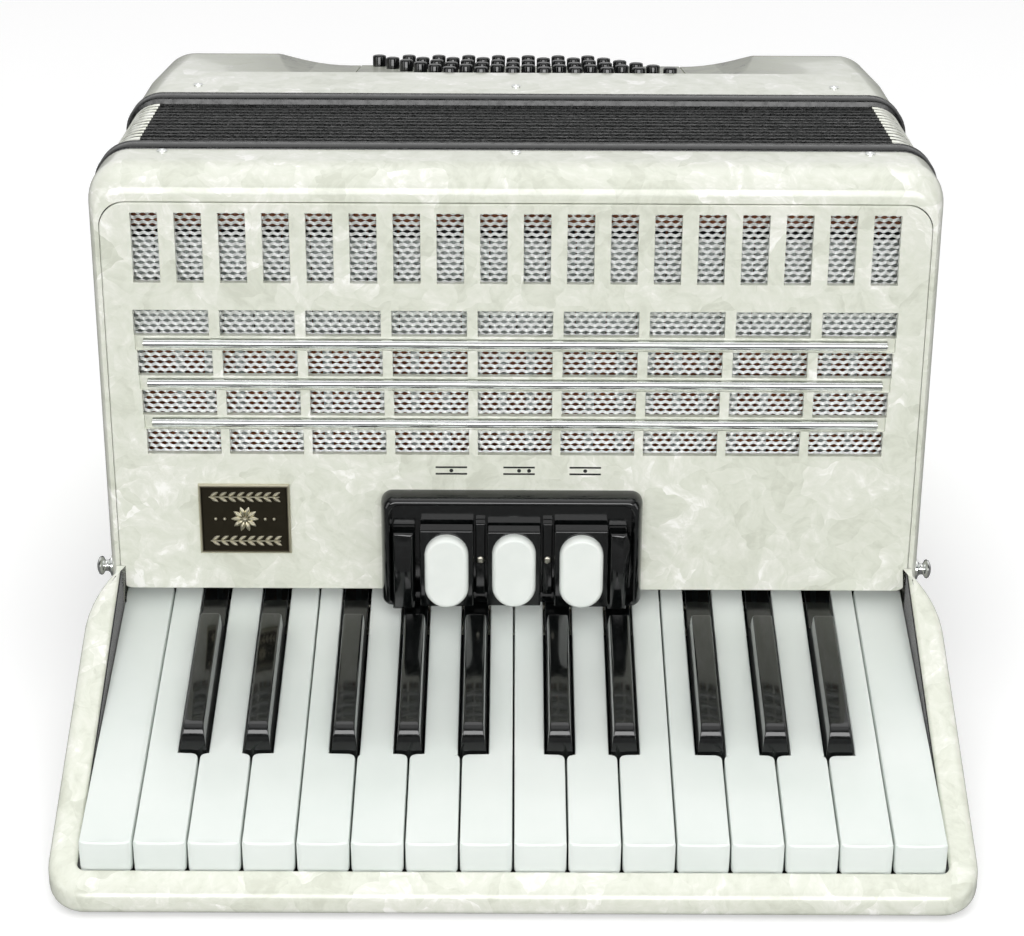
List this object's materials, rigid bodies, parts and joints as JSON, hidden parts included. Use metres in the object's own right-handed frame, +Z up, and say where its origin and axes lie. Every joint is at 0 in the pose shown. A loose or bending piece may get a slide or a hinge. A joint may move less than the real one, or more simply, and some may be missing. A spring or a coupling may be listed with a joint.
{
  "type": "piano accordion",
  "caption": "Small piano accordion lying on its back, with a pearl finish, sprung keys, bass buttons, register switches and bellows that open.",
  "frame": {"origin": "centre of the bounding box's bottom face; the instrument lies on its back on the keyboard base's outer edge and two rubber feet", "axes": "+X towards the high notes, +Y from the keyboard towards the bass end, +Z up, which is the side that faces the audience when it is played"},
  "size_m": [0.329, 0.4078, 0.2166],
  "materials": {
    "pearl": "mother-of-pearl celluloid, polished",
    "white_key": "polished white key tops",
    "black_key": "polished black key tops",
    "button": "polished black buttons",
    "switch_cap": "polished white caps",
    "gloss_black": "high gloss black",
    "frame_black": "black lacquer",
    "bellows_cloth": "black bellows cloth over card",
    "chrome": "polished chrome",
    "mesh": "expanded metal mesh",
    "steel": "ground steel rod",
    "badge": "antique brass, lacquered",
    "wood": "planed beech",
    "leather": "black grained leather",
    "rubber": "moulded rubber"
  },
  "bodies": {
    "bass_side": {"bass_bellows_frame": "frame_black", "bass_button_plate": "pearl", "bass_casing": "pearl", "bass_foot_left": "rubber", "bass_foot_right": "rubber", "bass_reed_block": "wood", "bass_strap": "leather", "bellows": "bellows_cloth"},
    "treble_side": {"treble_casing": "pearl", "grille_panel": "pearl", "grille_mesh": "mesh", "trim_bar_1": "chrome", "trim_bar_2": "chrome", "trim_bar_3": "chrome", "key_axle": "steel", "keyboard_base": "pearl", "register_housing": "gloss_black", "badge_plate": "badge", "pallet_board": "wood", "treble_reed_block": "wood", "strap_stud_left": "chrome", "strap_stud_right": "chrome", "treble_bellows_frame": "frame_black"},
    "register_switch_1": {"register_switch_1": "switch_cap"},
    "register_switch_2": {"register_switch_2": "switch_cap"},
    "register_switch_3": {"register_switch_3": "switch_cap"},
    "bass_button_row_1": {"bass_button_row_1": "button"},
    "bass_button_row_2": {"bass_button_row_2": "button"},
    "bass_button_row_3": {"bass_button_row_3": "button"},
    "bass_button_row_4": {"bass_button_row_4": "button"},
    "bass_button_row_5": {"bass_button_row_5": "button"},
    "bass_button_row_6": {"bass_button_row_6": "button"},
    "air_button": {"air_button": "button"},
    "bass_strap_wheel": {"bass_strap_wheel": "chrome"},
    "white_key_01": {"white_key_01": "white_key"},
    "white_key_02": {"white_key_02": "white_key"},
    "white_key_03": {"white_key_03": "white_key"},
    "white_key_04": {"white_key_04": "white_key"},
    "white_key_05": {"white_key_05": "white_key"},
    "white_key_06": {"white_key_06": "white_key"},
    "white_key_07": {"white_key_07": "white_key"},
    "white_key_08": {"white_key_08": "white_key"},
    "white_key_09": {"white_key_09": "white_key"},
    "white_key_10": {"white_key_10": "white_key"},
    "white_key_11": {"white_key_11": "white_key"},
    "white_key_12": {"white_key_12": "white_key"},
    "white_key_13": {"white_key_13": "white_key"},
    "white_key_14": {"white_key_14": "white_key"},
    "white_key_15": {"white_key_15": "white_key"},
    "white_key_16": {"white_key_16": "white_key"},
    "black_key_01": {"black_key_01": "black_key"},
    "black_key_02": {"black_key_02": "black_key"},
    "black_key_03": {"black_key_03": "black_key"},
    "black_key_04": {"black_key_04": "black_key"},
    "black_key_05": {"black_key_05": "black_key"},
    "black_key_06": {"black_key_06": "black_key"},
    "black_key_07": {"black_key_07": "black_key"},
    "black_key_08": {"black_key_08": "black_key"},
    "black_key_09": {"black_key_09": "black_key"},
    "black_key_10": {"black_key_10": "black_key"}
  },
  "joints": [
    {"name": "bellows_slide", "type": "slide", "parent": "bass_side", "child": "treble_side", "axis": [0, -0.9951, 0.0986], "range_m": [0, 0.26], "deforming": ["bellows"]},
    {"name": "register_switch_1_rock", "type": "hinge", "parent": "treble_side", "child": "register_switch_1", "pos_m": [-0.0259, -0.06889, 0.07251], "axis": [1, 0, 0], "range_deg": [-3, 3]},
    {"name": "register_switch_2_rock", "type": "hinge", "parent": "treble_side", "child": "register_switch_2", "pos_m": [-0.0001, -0.06889, 0.07251], "axis": [1, 0, 0], "range_deg": [-3, 3]},
    {"name": "register_switch_3_rock", "type": "hinge", "parent": "treble_side", "child": "register_switch_3", "pos_m": [0.0257, -0.06889, 0.07251], "axis": [1, 0, 0], "range_deg": [-3, 3]},
    {"name": "bass_button_row_1_press", "type": "slide", "parent": "bass_side", "child": "bass_button_row_1", "axis": [0, -0.2362, -0.9717], "range_m": [0, 0.0035], "stiffness_N_per_m": 200, "springref_m": -0.004},
    {"name": "bass_button_row_2_press", "type": "slide", "parent": "bass_side", "child": "bass_button_row_2", "axis": [0, -0.2362, -0.9717], "range_m": [0, 0.0035], "stiffness_N_per_m": 200, "springref_m": -0.004},
    {"name": "bass_button_row_3_press", "type": "slide", "parent": "bass_side", "child": "bass_button_row_3", "axis": [0, -0.2362, -0.9717], "range_m": [0, 0.0035], "stiffness_N_per_m": 200, "springref_m": -0.004},
    {"name": "bass_button_row_4_press", "type": "slide", "parent": "bass_side", "child": "bass_button_row_4", "axis": [0, -0.2362, -0.9717], "range_m": [0, 0.0035], "stiffness_N_per_m": 200, "springref_m": -0.004},
    {"name": "bass_button_row_5_press", "type": "slide", "parent": "bass_side", "child": "bass_button_row_5", "axis": [0, -0.2362, -0.9717], "range_m": [0, 0.0035], "stiffness_N_per_m": 200, "springref_m": -0.004},
    {"name": "bass_button_row_6_press", "type": "slide", "parent": "bass_side", "child": "bass_button_row_6", "axis": [0, -0.2362, -0.9717], "range_m": [0, 0.0035], "stiffness_N_per_m": 200, "springref_m": -0.004},
    {"name": "air_button_press", "type": "slide", "parent": "bass_side", "child": "air_button", "axis": [0, -0.9951, 0.0986], "range_m": [0, 0.004], "stiffness_N_per_m": 200, "springref_m": -0.004},
    {"name": "strap_wheel_turn", "type": "hinge", "parent": "bass_side", "child": "bass_strap_wheel", "pos_m": [0.1578, 0.13522, 0.099], "axis": [1, 0, 0], "continuous": true},
    {"name": "white_key_01_press", "type": "hinge", "parent": "treble_side", "child": "white_key_01", "pos_m": [-0.1425, -0.05448, 0.03544], "axis": [1, 0, 0], "range_deg": [0, 1.9], "stiffness_Nm_per_rad": 0.25, "springref_deg": -20.05},
    {"name": "white_key_02_press", "type": "hinge", "parent": "treble_side", "child": "white_key_02", "pos_m": [-0.12723, -0.05448, 0.03544], "axis": [1, 0, 0], "range_deg": [0, 1.9], "stiffness_Nm_per_rad": 0.25, "springref_deg": -20.05},
    {"name": "white_key_03_press", "type": "hinge", "parent": "treble_side", "child": "white_key_03", "pos_m": [-0.1045, -0.05448, 0.03544], "axis": [1, 0, 0], "range_deg": [0, 1.9], "stiffness_Nm_per_rad": 0.25, "springref_deg": -20.05},
    {"name": "white_key_04_press", "type": "hinge", "parent": "treble_side", "child": "white_key_04", "pos_m": [-0.08178, -0.05448, 0.03544], "axis": [1, 0, 0], "range_deg": [0, 1.9], "stiffness_Nm_per_rad": 0.25, "springref_deg": -20.05},
    {"name": "white_key_05_press", "type": "hinge", "parent": "treble_side", "child": "white_key_05", "pos_m": [-0.07132, -0.05448, 0.03544], "axis": [1, 0, 0], "range_deg": [0, 1.9], "stiffness_Nm_per_rad": 0.25, "springref_deg": -20.05},
    {"name": "white_key_06_press", "type": "hinge", "parent": "treble_side", "child": "white_key_06", "pos_m": [-0.0497, -0.05448, 0.03544], "axis": [1, 0, 0], "range_deg": [0, 1.9], "stiffness_Nm_per_rad": 0.25, "springref_deg": -20.05},
    {"name": "white_key_07_press", "type": "hinge", "parent": "treble_side", "child": "white_key_07", "pos_m": [-0.0263, -0.05448, 0.03544], "axis": [1, 0, 0], "range_deg": [0, 1.9], "stiffness_Nm_per_rad": 0.25, "springref_deg": -20.05},
    {"name": "white_key_08_press", "type": "hinge", "parent": "treble_side", "child": "white_key_08", "pos_m": [-0.00468, -0.05448, 0.03544], "axis": [1, 0, 0], "range_deg": [0, 1.9], "stiffness_Nm_per_rad": 0.25, "springref_deg": -20.05},
    {"name": "white_key_09_press", "type": "hinge", "parent": "treble_side", "child": "white_key_09", "pos_m": [0.00577, -0.05448, 0.03544], "axis": [1, 0, 0], "range_deg": [0, 1.9], "stiffness_Nm_per_rad": 0.25, "springref_deg": -20.05},
    {"name": "white_key_10_press", "type": "hinge", "parent": "treble_side", "child": "white_key_10", "pos_m": [0.0285, -0.05448, 0.03544], "axis": [1, 0, 0], "range_deg": [0, 1.9], "stiffness_Nm_per_rad": 0.25, "springref_deg": -20.05},
    {"name": "white_key_11_press", "type": "hinge", "parent": "treble_side", "child": "white_key_11", "pos_m": [0.05122, -0.05448, 0.03544], "axis": [1, 0, 0], "range_deg": [0, 1.9], "stiffness_Nm_per_rad": 0.25, "springref_deg": -20.05},
    {"name": "white_key_12_press", "type": "hinge", "parent": "treble_side", "child": "white_key_12", "pos_m": [0.06168, -0.05448, 0.03544], "axis": [1, 0, 0], "range_deg": [0, 1.9], "stiffness_Nm_per_rad": 0.25, "springref_deg": -20.05},
    {"name": "white_key_13_press", "type": "hinge", "parent": "treble_side", "child": "white_key_13", "pos_m": [0.0833, -0.05448, 0.03544], "axis": [1, 0, 0], "range_deg": [0, 1.9], "stiffness_Nm_per_rad": 0.25, "springref_deg": -20.05},
    {"name": "white_key_14_press", "type": "hinge", "parent": "treble_side", "child": "white_key_14", "pos_m": [0.1067, -0.05448, 0.03544], "axis": [1, 0, 0], "range_deg": [0, 1.9], "stiffness_Nm_per_rad": 0.25, "springref_deg": -20.05},
    {"name": "white_key_15_press", "type": "hinge", "parent": "treble_side", "child": "white_key_15", "pos_m": [0.12832, -0.05448, 0.03544], "axis": [1, 0, 0], "range_deg": [0, 1.9], "stiffness_Nm_per_rad": 0.25, "springref_deg": -20.05},
    {"name": "white_key_16_press", "type": "hinge", "parent": "treble_side", "child": "white_key_16", "pos_m": [0.1425, -0.05448, 0.03544], "axis": [1, 0, 0], "range_deg": [0, 1.9], "stiffness_Nm_per_rad": 0.25, "springref_deg": -20.05},
    {"name": "black_key_01_press", "type": "hinge", "parent": "treble_side", "child": "black_key_01", "pos_m": [-0.1162, -0.05448, 0.03544], "axis": [1, 0, 0], "range_deg": [0, 1.9], "stiffness_Nm_per_rad": 0.25, "springref_deg": -20.05},
    {"name": "black_key_02_press", "type": "hinge", "parent": "treble_side", "child": "black_key_02", "pos_m": [-0.0928, -0.05448, 0.03544], "axis": [1, 0, 0], "range_deg": [0, 1.9], "stiffness_Nm_per_rad": 0.25, "springref_deg": -20.05},
    {"name": "black_key_03_press", "type": "hinge", "parent": "treble_side", "child": "black_key_03", "pos_m": [-0.0614, -0.05448, 0.03544], "axis": [1, 0, 0], "range_deg": [0, 1.9], "stiffness_Nm_per_rad": 0.25, "springref_deg": -20.05},
    {"name": "black_key_04_press", "type": "hinge", "parent": "treble_side", "child": "black_key_04", "pos_m": [-0.038, -0.05448, 0.03544], "axis": [1, 0, 0], "range_deg": [0, 1.9], "stiffness_Nm_per_rad": 0.25, "springref_deg": -20.05},
    {"name": "black_key_05_press", "type": "hinge", "parent": "treble_side", "child": "black_key_05", "pos_m": [-0.0146, -0.05448, 0.03544], "axis": [1, 0, 0], "range_deg": [0, 1.9], "stiffness_Nm_per_rad": 0.25, "springref_deg": -20.05},
    {"name": "black_key_06_press", "type": "hinge", "parent": "treble_side", "child": "black_key_06", "pos_m": [0.0168, -0.05448, 0.03544], "axis": [1, 0, 0], "range_deg": [0, 1.9], "stiffness_Nm_per_rad": 0.25, "springref_deg": -20.05},
    {"name": "black_key_07_press", "type": "hinge", "parent": "treble_side", "child": "black_key_07", "pos_m": [0.0402, -0.05448, 0.03544], "axis": [1, 0, 0], "range_deg": [0, 1.9], "stiffness_Nm_per_rad": 0.25, "springref_deg": -20.05},
    {"name": "black_key_08_press", "type": "hinge", "parent": "treble_side", "child": "black_key_08", "pos_m": [0.0716, -0.05448, 0.03544], "axis": [1, 0, 0], "range_deg": [0, 1.9], "stiffness_Nm_per_rad": 0.25, "springref_deg": -20.05},
    {"name": "black_key_09_press", "type": "hinge", "parent": "treble_side", "child": "black_key_09", "pos_m": [0.095, -0.05448, 0.03544], "axis": [1, 0, 0], "range_deg": [0, 1.9], "stiffness_Nm_per_rad": 0.25, "springref_deg": -20.05},
    {"name": "black_key_10_press", "type": "hinge", "parent": "treble_side", "child": "black_key_10", "pos_m": [0.1184, -0.05448, 0.03544], "axis": [1, 0, 0], "range_deg": [0, 1.9], "stiffness_Nm_per_rad": 0.25, "springref_deg": -20.05}
  ]
}
